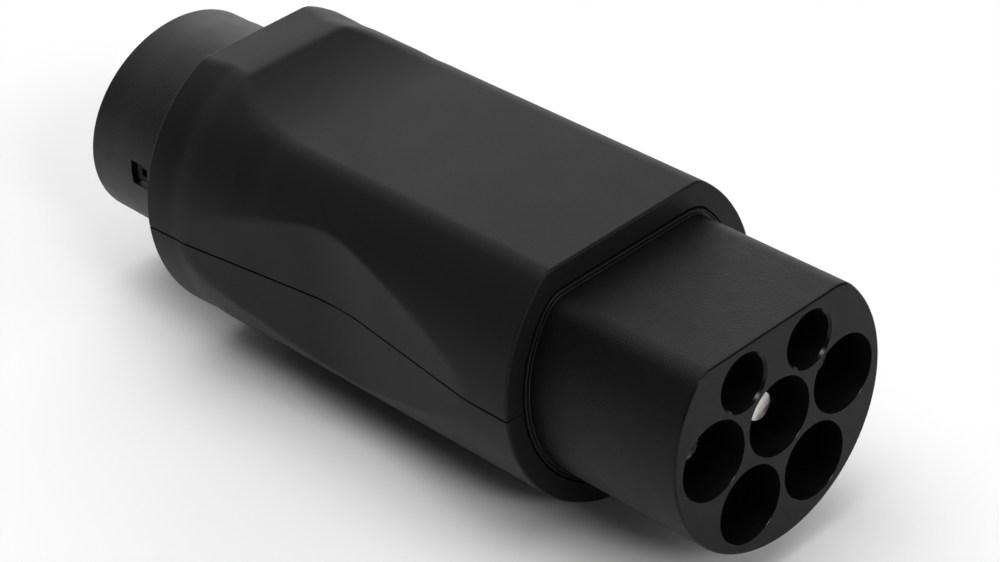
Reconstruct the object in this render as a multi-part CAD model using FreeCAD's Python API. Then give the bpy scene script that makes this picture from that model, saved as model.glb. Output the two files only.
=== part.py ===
import FreeCAD, Part
import math
import os

# Charging adapter: a round five-pin inlet at the rear, a D-shaped seven-way plug at the front and a
# two-shell housing between them. Millimetres. +X points out of the plug's face, +Z is up. The origin
# is on the earth way's axis, in the plane of the plug's face.

# Plug: the way centres lie on a hexagonal pitch, with a closer pair of pilot ways above
power_way_radius = 8.15
pilot_way_radius = 5.7
way_web = 1.3
pilot_row_height = 12.5
way_depth = 32.0
power_way_chamfer = 0.15
pilot_way_chamfer = 0.5
plug_wall = 2.05
plug_top_wall = 1.9
plug_corner_radius = 5.7
plug_length = 37.6
plug_root_length = 19.0
plug_edge_round = 0.4
flange_rise = 2.6
flange_thickness = 3.5

# Housing: a D-shaped prism whose flat top ramps up to a raised rim round the collar
housing_length = 108.0
housing_wall = 3.0
housing_corner_radius = 5.5
housing_edge_round = 0.5
housing_top_gap = 0.9
rim_top_gap = 2.1
rim_swell = 0.4
ramp_corner_growth = 6.5
rim_width = 9.4
rim_blend_length = 18.0
parting_height = -0.2
parting_gap = 0.3
parting_gap_depth = 0.7
rib_thickness = 2.0
rib_root = 0.5
fit_clearance = 0.2

# Grip scoops: one shallow cut on each side, straight from top to bottom
scoop_setback = 53.9
scoop_depth = 4.8
scoop_slope = math.radians(7.1)
scoop_bottom_radius = 60.0

# Seal lip round the plug where it leaves the housing
seal_width = 1.1
seal_gap = 0.35
seal_depth = 1.6
seal_stand_out = 0.5

# Collar: a drafted tube round the inlet, with a slanted mouth and two square windows
collar_length = 32.4
collar_mouth_radius = 24.3
collar_draft = 0.4
collar_wall = 2.1
collar_slant = math.radians(8.3)
collar_flange_rise = 1.4
collar_flange_thickness = 3.0
collar_root_length = 12.5
collar_shoulder_width = 2.6
collar_shoulder_thickness = 3.0
window_width = 5.55
window_length = 5.6
window_setback = 12.15
window_height = 1.55
window_gap = 0.8
collar_seal_width = 1.0

# Inlet core: a base disc with a ring wall round the pins, snapped into the collar's windows
core_base_thickness = 6.0
core_ring_wall = 1.8
core_ring_length = 23.0
snap_arm_thickness = 1.1
snap_arm_room = 2.3
snap_hook_rise = 1.5
snap_slot_length = 2.4
snap_slot_width = 1.95
snap_slot_wall = 0.65

# Pins: shank radius, how far the tip lies behind the face or the ring's edge, and the tip's rounding as
# a share of the shank's radius
power_pin_radius = 3.0
pilot_pin_radius = 1.5
earth_pin_setback = 5.0
power_pin_setback = 6.8
pilot_pin_setback = 9.0
inlet_power_radius = 1.8
inlet_earth_radius = 1.4
inlet_pilot_radius = 0.75
inlet_earth_setback = 1.5
inlet_power_setback = 3.0
inlet_pilot_setback = 5.0
pin_tip_share = 0.3
pin_clearance = 0.1
shoulder_rise = 1.6
shoulder_thickness = 3.0
tail_length = 11.0
crimp_depth = 7.0
crimp_wall = 0.9

# Inlet pin places, seen from behind the adapter
inlet_power_spread = 7.85
inlet_power_height = 6.8
inlet_pilot_spread = 10.65
inlet_pilot_height = -5.6
inlet_earth_height = -10.6

# Retainers and their screws
retainer_thickness = 3.0
retainer_margin = 1.6
retainer_screw_radius = 1.4
retainer_screw_head_radius = 2.6
retainer_screw_head_height = 1.8
retainer_screw_length = 11.0
retainer_screw_top = 13.5
retainer_screw_side = 17.0
retainer_screw_low = -13.5
core_screw_top = 14.0
core_screw_low = 0.5

# Insulated wires from the plug pins to the inlet pins
power_wire_radius = 2.4
pilot_wire_radius = 1.2
wire_margin = 3.0
pilot_bend_length = 26.0
power_bend_start = 14.0
power_bend_margin = 7.7

# Housing screws: two short ones into the plug's root, two long ones between the shells
screw_radius = 1.5
screw_clearance_radius = 1.9
screw_head_radius = 3.0
screw_head_height = 2.4
screw_head_recess = 0.4
boss_radius = 4.6
front_screw_spread = 10.0
front_screw_depth = 10.0
rear_screw_spread = 19.5
rear_screw_setback = 27.0
rear_screw_grip = 9.0
front_screw_length = 13.0

# Coding board with its resistor, on two ribs in the lower shell
board_length = 18.0
board_width = 14.0
board_thickness = 1.6
board_height = -22.0
board_rib_inset = 3.0
resistor_length = 6.4
resistor_width = 3.2
resistor_height = 0.7

contact_pitch = 2 * power_way_radius + way_web
plug_radius = contact_pitch + power_way_radius + plug_wall
plug_flat_height = pilot_row_height + pilot_way_radius + plug_top_wall
housing_radius = plug_radius + flange_rise + fit_clearance + housing_wall
housing_flat_height = plug_flat_height + flange_rise + housing_top_gap + housing_wall
collar_root_radius = collar_mouth_radius + collar_draft
collar_bore_radius = collar_mouth_radius - collar_wall
collar_shoulder_radius = collar_bore_radius - collar_shoulder_width
rim_height = collar_root_radius + collar_flange_rise + rim_top_gap + housing_wall
rim_rise = rim_height - housing_flat_height
core_base_radius = collar_bore_radius - fit_clearance
core_ring_outer_radius = core_base_radius - snap_arm_thickness - snap_arm_room

front_face = -plug_length
rear_face = front_face - housing_length
scoop_middle = front_face - scoop_setback
cavity_front = front_face - housing_wall
cavity_rear = rear_face + housing_wall
collar_mouth = rear_face - collar_length
flange_rear = cavity_front - flange_thickness
plug_rear = cavity_front - plug_root_length + housing_wall
core_seat = cavity_rear + collar_root_length - collar_shoulder_thickness
core_front = core_seat - core_base_thickness
ring_edge = core_front - core_ring_length
far = 60.0

power_ways = {
    "earth": (0.0, 0.0),
    "line": (-contact_pitch, 0.0),
    "neutral": (contact_pitch, 0.0),
}
spare_row_height = -contact_pitch * math.sin(math.radians(60))
spare_ways = [(-contact_pitch / 2, spare_row_height), (contact_pitch / 2, spare_row_height)]
pilot_ways = {
    "pilot": (-contact_pitch / 2, pilot_row_height),
    "proximity": (contact_pitch / 2, pilot_row_height),
}
inlet_places = {
    "earth": (0.0, inlet_earth_height),
    "line": (-inlet_power_spread, inlet_power_height),
    "neutral": (inlet_power_spread, inlet_power_height),
    "pilot": (-inlet_pilot_spread, inlet_pilot_height),
    "proximity": (inlet_pilot_spread, inlet_pilot_height),
}


def vec(x, y, z):
    return FreeCAD.Vector(x, y, z)


def cylinder(x_low, x_high, radius, y=0.0, z=0.0):
    """A round bar along X between two stations."""
    return Part.makeCylinder(radius, x_high - x_low, vec(x_low, y, z), vec(1, 0, 0))


def block(x_low, x_high, y_low, y_high, z_low, z_high):
    return Part.makeBox(x_high - x_low, y_high - y_low, z_high - z_low, vec(x_low, y_low, z_low))


def d_outline(x, radius, flat_height, corner_radius):
    """A circle cut by a flat on top, with a tangent arc at each corner, in the plane at x."""
    corner_z = flat_height - corner_radius
    corner_y = math.sqrt((radius - corner_radius) ** 2 - corner_z ** 2)
    reach = radius / (radius - corner_radius)
    turn = (math.pi / 2 + math.atan2(corner_z, corner_y)) / 2
    mid_y = corner_y + corner_radius * math.cos(turn)
    mid_z = corner_z + corner_radius * math.sin(turn)
    low = math.sin(math.pi / 4) * radius
    flat_right = vec(x, corner_y, flat_height)
    flat_left = vec(x, -corner_y, flat_height)
    side_right = vec(x, corner_y * reach, corner_z * reach)
    side_left = vec(x, -corner_y * reach, corner_z * reach)
    bottom = vec(x, 0, -radius)
    edges = [
        Part.makeLine(flat_left, flat_right),
        Part.Arc(flat_right, vec(x, mid_y, mid_z), side_right).toShape(),
        Part.Arc(side_right, vec(x, low, -low), bottom).toShape(),
        Part.Arc(bottom, vec(x, -low, -low), side_left).toShape(),
        Part.Arc(side_left, vec(x, -mid_y, mid_z), flat_left).toShape(),
    ]
    return Part.Wire(edges)


def d_prism(x_low, x_high, radius, flat_height, corner_radius):
    outline = d_outline(x_low, radius, flat_height, corner_radius)
    return Part.Face(outline).extrude(vec(x_high - x_low, 0, 0))


def plug_prism(x_low, x_high, rise=0.0):
    """The plug's D section, grown all round by rise."""
    return d_prism(x_low, x_high, plug_radius + rise, plug_flat_height + rise, plug_corner_radius + rise)


def scoop_cutter(side, inset):
    """The space beside the housing: two gentle slopes joined by an arc, straight along Z."""
    floor = housing_radius - scoop_depth - inset
    half = scoop_bottom_radius * math.sin(scoop_slope)
    drop = scoop_bottom_radius * (1 - math.cos(scoop_slope))
    run = far - half
    climb = run * math.tan(scoop_slope)
    points = [
        vec(scoop_middle - far, side * (floor + drop + climb), -far),
        vec(scoop_middle - half, side * (floor + drop), -far),
        vec(scoop_middle, side * floor, -far),
        vec(scoop_middle + half, side * (floor + drop), -far),
        vec(scoop_middle + far, side * (floor + drop + climb), -far),
    ]
    outer_right = vec(scoop_middle + far, side * 2 * far, -far)
    outer_left = vec(scoop_middle - far, side * 2 * far, -far)
    wire = Part.Wire([
        Part.makeLine(points[0], points[1]),
        Part.Arc(points[1], points[2], points[3]).toShape(),
        Part.makeLine(points[3], points[4]),
        Part.makeLine(points[4], outer_right),
        Part.makeLine(outer_right, outer_left),
        Part.makeLine(outer_left, points[0]),
    ])
    return Part.Face(wire).extrude(vec(0, 0, 2 * far))


def housing_form(x_rear, x_front, inset):
    """The housing's solid form, taken in all round by inset.

    Each station gives the share of the rim's rise, of its swell and of the corner's growth on the ramp.
    """
    radius = housing_radius - inset
    flat = housing_flat_height - inset
    corner = housing_corner_radius - inset
    rim_front = rear_face + rim_width
    blend_front = rim_front + rim_blend_length
    stations = [
        (blend_front, 0.0, 0.0, 0.0),
        (blend_front - 0.25 * rim_blend_length, 0.01, -0.2, 0.1),
        (blend_front - 0.55 * rim_blend_length, 0.11, -0.45, 0.7),
        (blend_front - 0.75 * rim_blend_length, 0.44, 0.0, 1.0),
        (blend_front - 0.9 * rim_blend_length, 0.87, 0.7, 0.7),
        (rim_front, 1.0, 1.0, 0.4),
        (rear_face, 0.93, 0.35, 0.2),
    ]
    wires = []
    for x, rise, swell, growth in stations:
        wires.append(d_outline(
            x,
            radius + swell * rim_swell,
            flat + rise * rim_rise,
            corner + growth * ramp_corner_growth,
        ))
    rear = Part.makeLoft(wires, True, False)
    front = d_prism(blend_front, x_front, radius, flat, corner)
    form = front.fuse(rear)
    if x_rear > rear_face:
        form = form.cut(block(rear_face - 1, x_rear, -far, far, -far, far))
    for side in (-1, 1):
        form = form.cut(scoop_cutter(side, inset))
    return form


def housing_blank():
    """The closed housing form with its front and rear edges rounded."""
    form = housing_form(rear_face, front_face, 0.0)
    ends = []
    for edge in form.Edges:
        box = edge.BoundBox
        flat_in_x = box.XLength < 0.01
        if flat_in_x and (abs(box.XMin - front_face) < 0.01 or abs(box.XMin - rear_face) < 0.01):
            ends.append(edge)
    return form.makeFillet(housing_edge_round, ends)


def ring_rib(x_low, x_high, opening):
    """A rib across the whole cavity, with an opening cut through it."""
    slab = block(x_low, x_high, -far, far, -far, far)
    cavity = housing_form(rear_face, front_face, housing_wall - rib_root)
    return cavity.common(slab).cut(opening)


def screw_places():
    """The front and rear housing screws' places in x and y."""
    front_x = plug_rear + front_screw_depth / 2
    rear_x = rear_face + rear_screw_setback
    front = [(front_x, side * front_screw_spread) for side in (-1, 1)]
    rear = [(rear_x, side * rear_screw_spread) for side in (-1, 1)]
    return front, rear


def under_height(y):
    """The height of the housing's underside at y."""
    return -math.sqrt(housing_radius ** 2 - y ** 2)


def head_seat(y):
    """The height of the face that a housing screw's head bears on."""
    return under_height(abs(y) + screw_head_radius) + screw_head_recess + screw_head_height


def upright(radius, z_low, z_high, x, y):
    return Part.makeCylinder(radius, z_high - z_low, vec(x, y, z_low), vec(0, 0, 1))


def housing_shell():
    """Both shells in one piece: walls, openings, ribs and bosses, before they are parted."""
    blank = housing_blank()
    cavity = housing_form(cavity_rear, cavity_front, housing_wall)
    shell = blank.cut(cavity)
    shell = shell.cut(plug_prism(front_face - seal_depth, front_face + 1, seal_width + seal_gap))
    shell = shell.cut(plug_prism(cavity_front - 1, front_face, fit_clearance))
    hole = collar_root_radius + fit_clearance
    shell = shell.cut(cylinder(rear_face - 1, cavity_rear + 1, hole))
    plug_opening = plug_prism(cavity_front - far, cavity_front + 1, fit_clearance)
    shell = shell.fuse(ring_rib(flange_rear - rib_thickness, flange_rear, plug_opening))
    rib_at = cavity_rear + collar_flange_thickness
    collar_opening = cylinder(rib_at - 1, rib_at + far, hole)
    shell = shell.fuse(ring_rib(rib_at, rib_at + rib_thickness, collar_opening))
    front_places, rear_places = screw_places()
    inside = housing_form(cavity_rear, cavity_front, housing_wall - rib_root)
    plug_space = plug_prism(plug_rear - far, front_face, fit_clearance)
    for x, y in front_places:
        boss = upright(boss_radius, -far, 0, x, y).common(inside).cut(plug_space)
        shell = shell.fuse(boss)
    for x, y in rear_places:
        boss = upright(boss_radius, -far, far, x, y).common(inside)
        shell = shell.fuse(boss)
    for x, y in front_places + rear_places:
        shell = shell.cut(upright(screw_head_radius + fit_clearance, -far, head_seat(y), x, y))
    for x, y in front_places:
        shell = shell.cut(upright(screw_clearance_radius, -far, 0, x, y))
    for x, y in rear_places:
        shell = shell.cut(upright(screw_clearance_radius, -far, parting_height, x, y))
        shell = shell.cut(upright(screw_radius, parting_height, parting_height + rear_screw_grip, x, y))
    groove_slab = block(rear_face - 1, front_face + 1, -far, far,
                        parting_height - parting_gap / 2, parting_height + parting_gap / 2)
    core = housing_form(rear_face, front_face, parting_gap_depth)
    shell = shell.cut(blank.common(groove_slab).cut(core))
    return shell.removeSplitter()


def board_ribs():
    """Two ribs that stand on the lower shell's floor under the coding board's ends."""
    ribs = []
    inside = housing_form(cavity_rear, cavity_front, housing_wall - rib_root)
    for side in (-1, 1):
        x = scoop_middle + side * (board_length / 2 - board_rib_inset)
        x_low = x - rib_thickness / 2
        rib = block(x_low, x_low + rib_thickness, -board_width / 2, board_width / 2, -far, board_height)
        ribs.append(rib.common(inside))
    return ribs


def make_shells():
    shell = housing_shell()
    upper = shell.common(block(rear_face - 1, front_face + 1, -far, far, parting_height, far))
    lower = shell.common(block(rear_face - 1, front_face + 1, -far, far, -far, parting_height))
    for rib in board_ribs():
        lower = lower.fuse(rib)
    return upper, lower.removeSplitter()


def tail_radius(wire_radius):
    return wire_radius + crimp_wall


def shoulder_radius(radius, wire_radius):
    return max(radius, tail_radius(wire_radius)) + shoulder_rise


def pin(tip, seat, tail_end, radius, wire_radius, y, z):
    """A turned pin along X: domed tip, shank, shoulder against its seat and a tail bored for a wire."""
    forward = 1 if tip > seat else -1
    nose = radius * pin_tip_share
    tail = tail_radius(wire_radius)
    shoulder = shoulder_radius(radius, wire_radius)
    back = seat - forward * shoulder_thickness
    arc_end = vec(tip - forward * nose, radius, 0)
    inward = nose * (1 - math.cos(math.pi / 4))
    arc_mid = vec(tip - forward * inward, radius - inward, 0)
    profile = Part.Wire([
        Part.makeLine(vec(tip, 0, 0), vec(tip, radius - nose, 0)),
        Part.Arc(vec(tip, radius - nose, 0), arc_mid, arc_end).toShape(),
        Part.makeLine(arc_end, vec(seat, radius, 0)),
        Part.makeLine(vec(seat, radius, 0), vec(seat, shoulder, 0)),
        Part.makeLine(vec(seat, shoulder, 0), vec(back, shoulder, 0)),
        Part.makeLine(vec(back, shoulder, 0), vec(back, tail, 0)),
        Part.makeLine(vec(back, tail, 0), vec(tail_end, tail, 0)),
        Part.makeLine(vec(tail_end, tail, 0), vec(tail_end, 0, 0)),
        Part.makeLine(vec(tail_end, 0, 0), vec(tip, 0, 0)),
    ])
    body = Part.Face(profile).revolve(vec(0, 0, 0), vec(1, 0, 0), 360)
    bore_inner = tail_end + forward * crimp_depth
    bore = cylinder(min(tail_end, bore_inner), max(tail_end, bore_inner), wire_radius)
    body = body.cut(bore)
    body.translate(vec(0, y, z))
    return body


def plug_pin_facts(name):
    """A plug pin's shank and wire radius, its tip's station and its place in y and z."""
    if name in power_ways:
        setback = earth_pin_setback if name == "earth" else power_pin_setback
        return power_pin_radius, power_wire_radius, -setback, power_ways[name]
    return pilot_pin_radius, pilot_wire_radius, -pilot_pin_setback, pilot_ways[name]


def inlet_pin_facts(name):
    """An inlet pin's shank and wire radius, its tip's station and its place in y and z."""
    radius, setback, wire_radius = {
        "earth": (inlet_earth_radius, inlet_earth_setback, power_wire_radius),
        "line": (inlet_power_radius, inlet_power_setback, power_wire_radius),
        "neutral": (inlet_power_radius, inlet_power_setback, power_wire_radius),
        "pilot": (inlet_pilot_radius, inlet_pilot_setback, pilot_wire_radius),
        "proximity": (inlet_pilot_radius, inlet_pilot_setback, pilot_wire_radius),
    }[name]
    return radius, wire_radius, ring_edge + setback, inlet_places[name]


def retainer_screw_places():
    return [
        (0.0, retainer_screw_top),
        (-retainer_screw_side, retainer_screw_low),
        (retainer_screw_side, retainer_screw_low),
    ]


def make_plug_body():
    """The plug's insulator: seven blind ways in a D-shaped nose, with a flange behind the housing's front."""
    nose = plug_prism(plug_rear, 0.0)
    rim = [edge for edge in nose.Edges if abs(edge.BoundBox.XMin) < 0.01 and edge.BoundBox.XLength < 0.01]
    body = nose.makeFillet(plug_edge_round, rim)
    body = body.fuse(plug_prism(flange_rear, cavity_front, flange_rise))
    ways = [(place, power_way_radius, power_way_chamfer) for place in list(power_ways.values()) + spare_ways]
    ways += [(place, pilot_way_radius, pilot_way_chamfer) for place in pilot_ways.values()]
    for (y, z), radius, chamfer in ways:
        body = body.cut(cylinder(-way_depth, 1.0, radius, y, z))
        flare = Part.makeCone(radius + chamfer, radius, chamfer, vec(0, y, z), vec(-1, 0, 0))
        body = body.cut(flare)
    for name in contact_names:
        radius, wire_radius, tip, (y, z) = plug_pin_facts(name)
        body = body.cut(cylinder(plug_rear - 1, -way_depth + 1, radius + pin_clearance, y, z))
        recess = shoulder_radius(radius, wire_radius) + pin_clearance
        body = body.cut(cylinder(plug_rear - 1, plug_rear + shoulder_thickness, recess, y, z))
    for y, z in retainer_screw_places():
        hole_end = plug_rear - retainer_thickness + retainer_screw_length
        body = body.cut(cylinder(plug_rear - 1, hole_end, retainer_screw_radius, y, z))
    for x, y in screw_places()[0]:
        body = body.cut(upright(screw_radius, -far, head_seat(y) + front_screw_length, x, y))
    return body


def make_nose_seal():
    """The lip ring round the plug: an inner bead that stands proud and a lower outer land."""
    inner_rise = seal_width / 2
    low = front_face - seal_depth
    land = plug_prism(low, front_face + seal_stand_out / 2, seal_width)
    bead = plug_prism(low, front_face + seal_stand_out, inner_rise)
    return land.fuse(bead).cut(plug_prism(low - 1, front_face + 5, 0.0)).removeSplitter()


def make_plug_pin(name):
    radius, wire_radius, tip, (y, z) = plug_pin_facts(name)
    return pin(tip, plug_rear + shoulder_thickness, plug_rear - tail_length, radius, wire_radius, y, z)


def make_inlet_pin(name):
    radius, wire_radius, tip, (y, z) = inlet_pin_facts(name)
    return pin(tip, core_seat - shoulder_thickness, core_seat + tail_length, radius, wire_radius, y, z)


def make_pin_retainer():
    """The plate that holds the plug pins' shoulders in their recesses."""
    plate = plug_prism(plug_rear - retainer_thickness, plug_rear, -retainer_margin)
    for name in contact_names:
        radius, wire_radius, tip, (y, z) = plug_pin_facts(name)
        hole = tail_radius(wire_radius) + fit_clearance
        plate = plate.cut(cylinder(plug_rear - far, plug_rear + 1, hole, y, z))
    screw_hole = retainer_screw_radius + fit_clearance
    for y, z in retainer_screw_places():
        plate = plate.cut(cylinder(plug_rear - far, plug_rear + 1, screw_hole, y, z))
    return plate


def small_screw(seat, forward, y, z):
    """A pan-head screw along X whose head bears on the plane at seat."""
    head_back = seat - forward * retainer_screw_head_height
    tip = seat + forward * retainer_screw_length
    head = cylinder(min(seat, head_back), max(seat, head_back), retainer_screw_head_radius, y, z)
    return head.fuse(cylinder(min(seat, tip), max(seat, tip), retainer_screw_radius, y, z))


def make_retainer_screws():
    seat = plug_rear - retainer_thickness
    return Part.makeCompound([small_screw(seat, 1, y, z) for y, z in retainer_screw_places()])


def make_core_screws():
    seat = core_seat + retainer_thickness
    return Part.makeCompound([small_screw(seat, -1, 0.0, z) for z in (core_screw_top, core_screw_low)])


def window_box(side, gap=0.0):
    """The square window through the collar's side wall, less a gap all round."""
    x_high = rear_face - window_setback
    x_low = x_high - window_length
    inner = side * collar_shoulder_radius
    outer = side * far
    return block(
        x_low + gap,
        x_high - gap,
        min(inner, outer),
        max(inner, outer),
        window_height - window_width / 2 + gap,
        window_height + window_width / 2 - gap,
    )


def make_inlet_collar():
    """The collar: a drafted tube with a slanted mouth, a flange inside the housing and an inner shoulder."""
    overrun = collar_mouth_radius * math.tan(collar_slant) + 1
    taper = collar_draft / collar_length
    start = collar_mouth - overrun
    root_end = cavity_rear + collar_root_length
    start_radius = collar_mouth_radius - overrun * taper
    body = Part.makeCone(start_radius, collar_root_radius, rear_face - start, vec(start, 0, 0), vec(1, 0, 0))
    body = body.fuse(cylinder(rear_face, root_end, collar_root_radius))
    flange_end = cavity_rear + collar_flange_thickness
    body = body.fuse(cylinder(cavity_rear, flange_end, collar_root_radius + collar_flange_rise))
    body = body.cut(cylinder(start - 1, core_seat, collar_bore_radius))
    body = body.cut(cylinder(core_seat - 1, root_end + 1, collar_shoulder_radius))
    lean = far * math.tan(collar_slant)
    wedge = Part.Wire(Part.makePolygon([
        vec(collar_mouth - lean, -far, -far),
        vec(collar_mouth + lean, -far, far),
        vec(collar_mouth - 2 * far, -far, far),
        vec(collar_mouth - 2 * far, -far, -far),
        vec(collar_mouth - lean, -far, -far),
    ]))
    body = body.cut(Part.Face(wedge).extrude(vec(0, 2 * far, 0)))
    for side in (-1, 1):
        body = body.cut(window_box(side))
    return body.cut(make_collar_seal()).removeSplitter()


def make_collar_seal():
    """The seal ring in the flange's rear face."""
    inner = collar_root_radius + (collar_flange_rise - collar_seal_width) / 2
    ring = cylinder(cavity_rear, cavity_rear + collar_seal_width, inner + collar_seal_width)
    return ring.cut(cylinder(cavity_rear - 1, cavity_rear + far, inner))


def make_inlet_core():
    """The inlet's insulator: base, ring wall and two sprung arms that snap into the collar's windows."""
    body = cylinder(core_front, core_seat, core_base_radius)
    ring = cylinder(ring_edge, core_front + 1, core_ring_outer_radius)
    body = body.fuse(ring.cut(cylinder(ring_edge - 1, core_front, core_ring_outer_radius - core_ring_wall)))
    arm_end = rear_face - window_setback - window_length + window_gap
    arm_shell = cylinder(arm_end, core_front + 1, core_base_radius)
    arm_shell = arm_shell.cut(cylinder(arm_end - 1, core_front + 2, core_base_radius - snap_arm_thickness))
    hook_shell = cylinder(arm_end, core_front, core_base_radius + snap_hook_rise)
    hook_shell = hook_shell.cut(cylinder(arm_end - 1, core_front + 1, core_base_radius - snap_arm_thickness))
    for side in (-1, 1):
        window = window_box(side, window_gap)
        box = window.BoundBox
        slot_top = box.ZMax - snap_slot_wall
        slot = block(box.XMax - snap_slot_length, box.XMax, -far, far, slot_top - snap_slot_width, slot_top)
        strip = block(box.XMin, core_front + 1, min(0, side * far), max(0, side * far), box.ZMin, box.ZMax)
        body = body.fuse(arm_shell.common(strip))
        body = body.fuse(hook_shell.common(window))
        body = body.cut(slot.cut(cylinder(box.XMin - 1, far, core_ring_outer_radius)))
    for name in contact_names:
        radius, wire_radius, tip, (y, z) = inlet_pin_facts(name)
        body = body.cut(cylinder(core_front - 1, core_seat + 1, radius + pin_clearance, y, z))
        recess = shoulder_radius(radius, wire_radius) + pin_clearance
        body = body.cut(cylinder(core_seat - shoulder_thickness, core_seat + 1, recess, y, z))
    for z in (core_screw_top, core_screw_low):
        hole_end = core_seat + retainer_thickness - retainer_screw_length
        body = body.cut(cylinder(hole_end, core_seat + 1, retainer_screw_radius, 0.0, z))
    return body.removeSplitter()


def make_core_retainer():
    """The disc that holds the inlet pins' shoulders in the core."""
    disc_end = core_seat + retainer_thickness
    disc = cylinder(core_seat, disc_end, collar_shoulder_radius - fit_clearance)
    for name in contact_names:
        radius, wire_radius, tip, (y, z) = inlet_pin_facts(name)
        hole = tail_radius(wire_radius) + fit_clearance
        disc = disc.cut(cylinder(core_seat - 1, disc_end + 1, hole, y, z))
    for z in (core_screw_top, core_screw_low):
        disc = disc.cut(cylinder(core_seat - 1, disc_end + 1, retainer_screw_radius + fit_clearance, 0.0, z))
    return disc


def make_wire(name):
    """An insulated wire from a plug pin's tail to the matching inlet pin's tail, with one S-bend."""
    wire_radius, (y_front, z_front) = plug_pin_facts(name)[1], plug_pin_facts(name)[3]
    y_rear, z_rear = inlet_places[name]
    start = plug_rear - tail_length + crimp_depth
    end = core_seat + tail_length - crimp_depth
    bend_length = pilot_bend_length
    bend_start = plug_rear - tail_length - wire_margin
    if name in power_ways:
        bend_start -= power_bend_start
        bend_length = bend_start - power_bend_margin - (core_seat + tail_length)
    offset = math.hypot(y_rear - y_front, z_rear - z_front)
    aside = vec(0, (y_rear - y_front) / offset, (z_rear - z_front) / offset)
    angle = 2 * math.atan(offset / bend_length)
    bend_radius = bend_length / (2 * math.sin(angle))
    print(name, "wire bend radius", round(bend_radius, 1))

    def at(along, across):
        return vec(bend_start - along, y_front, z_front) + aside * across

    half_run = bend_radius * math.sin(angle / 2)
    half_rise = bend_radius * (1 - math.cos(angle / 2))
    middle = at(bend_length / 2, offset / 2)
    path = Part.Wire([
        Part.makeLine(vec(start, y_front, z_front), at(0, 0)),
        Part.Arc(at(0, 0), at(half_run, half_rise), middle).toShape(),
        Part.Arc(middle, at(bend_length - half_run, offset - half_rise), at(bend_length, offset)).toShape(),
        Part.makeLine(at(bend_length, offset), vec(end, y_rear, z_rear)),
    ])
    section = Part.Wire(Part.makeCircle(wire_radius, vec(start, y_front, z_front), vec(1, 0, 0)))
    return path.makePipeShell([section], True, False)


def make_coding_board():
    return block(
        scoop_middle - board_length / 2,
        scoop_middle + board_length / 2,
        -board_width / 2,
        board_width / 2,
        board_height,
        board_height + board_thickness,
    )


def make_coding_resistor():
    """A flat chip resistor on the board's upper side."""
    top = board_height + board_thickness
    return block(
        scoop_middle - resistor_width / 2,
        scoop_middle + resistor_width / 2,
        -resistor_length / 2,
        resistor_length / 2,
        top,
        top + resistor_height,
    )


def make_housing_screws():
    """Four screws, driven up from the underside."""
    front_places, rear_places = screw_places()
    rear_length = parting_height + rear_screw_grip - head_seat(rear_screw_spread)
    screws = []
    for places, length in ((front_places, front_screw_length), (rear_places, rear_length)):
        for x, y in places:
            seat = head_seat(y)
            head = upright(screw_head_radius, seat - screw_head_height, seat, x, y)
            screws.append(head.fuse(upright(screw_radius, seat, seat + length, x, y)))
    return Part.makeCompound(screws)


contact_names = list(power_ways) + list(pilot_ways)
upper_housing, lower_housing = make_shells()
nodes = {
    "upper_housing": upper_housing,
    "lower_housing": lower_housing,
    "plug_body": make_plug_body(),
    "nose_seal": make_nose_seal(),
    "pin_retainer": make_pin_retainer(),
    "retainer_screws": make_retainer_screws(),
    "inlet_collar": make_inlet_collar(),
    "collar_seal": make_collar_seal(),
    "inlet_core": make_inlet_core(),
    "core_retainer": make_core_retainer(),
    "core_screws": make_core_screws(),
    "coding_board": make_coding_board(),
    "coding_resistor": make_coding_resistor(),
    "housing_screws": make_housing_screws(),
}
for contact in contact_names:
    nodes[contact + "_pin"] = make_plug_pin(contact)
    nodes["inlet_" + contact + "_pin"] = make_inlet_pin(contact)
    nodes[contact + "_wire"] = make_wire(contact)

os.makedirs("parts", exist_ok=True)
for node, shape in nodes.items():
    shape.exportStep(os.path.join("parts", node + ".step"))
    state = "valid" if shape.isValid() else "invalid"
    print(node, len(shape.Solids), "solids", round(shape.Volume), "mm3", state)
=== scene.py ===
import math

import bmesh
import bpy
from mathutils import Matrix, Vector
from mathutils.geometry import tessellate_polygon


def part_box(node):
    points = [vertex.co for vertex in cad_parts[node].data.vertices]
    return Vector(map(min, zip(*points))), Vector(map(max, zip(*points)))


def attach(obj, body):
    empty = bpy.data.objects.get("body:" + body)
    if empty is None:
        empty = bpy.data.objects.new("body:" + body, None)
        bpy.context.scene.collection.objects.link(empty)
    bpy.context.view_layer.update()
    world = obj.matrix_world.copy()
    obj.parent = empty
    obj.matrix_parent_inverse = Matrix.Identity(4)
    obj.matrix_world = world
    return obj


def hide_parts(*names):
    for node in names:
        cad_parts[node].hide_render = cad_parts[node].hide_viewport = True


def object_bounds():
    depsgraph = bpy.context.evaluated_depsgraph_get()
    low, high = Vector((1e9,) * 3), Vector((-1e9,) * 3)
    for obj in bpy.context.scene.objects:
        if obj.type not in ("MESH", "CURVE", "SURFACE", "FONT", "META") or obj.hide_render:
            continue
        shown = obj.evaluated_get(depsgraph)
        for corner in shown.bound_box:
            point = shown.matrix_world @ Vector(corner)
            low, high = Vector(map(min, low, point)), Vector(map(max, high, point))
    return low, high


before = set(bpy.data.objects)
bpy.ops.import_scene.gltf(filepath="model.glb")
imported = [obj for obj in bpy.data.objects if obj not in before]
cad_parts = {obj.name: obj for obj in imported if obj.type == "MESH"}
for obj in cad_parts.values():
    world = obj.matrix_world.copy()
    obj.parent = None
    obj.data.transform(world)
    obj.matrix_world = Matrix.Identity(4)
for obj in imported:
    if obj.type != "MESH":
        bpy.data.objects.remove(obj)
cad_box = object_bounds()

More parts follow.
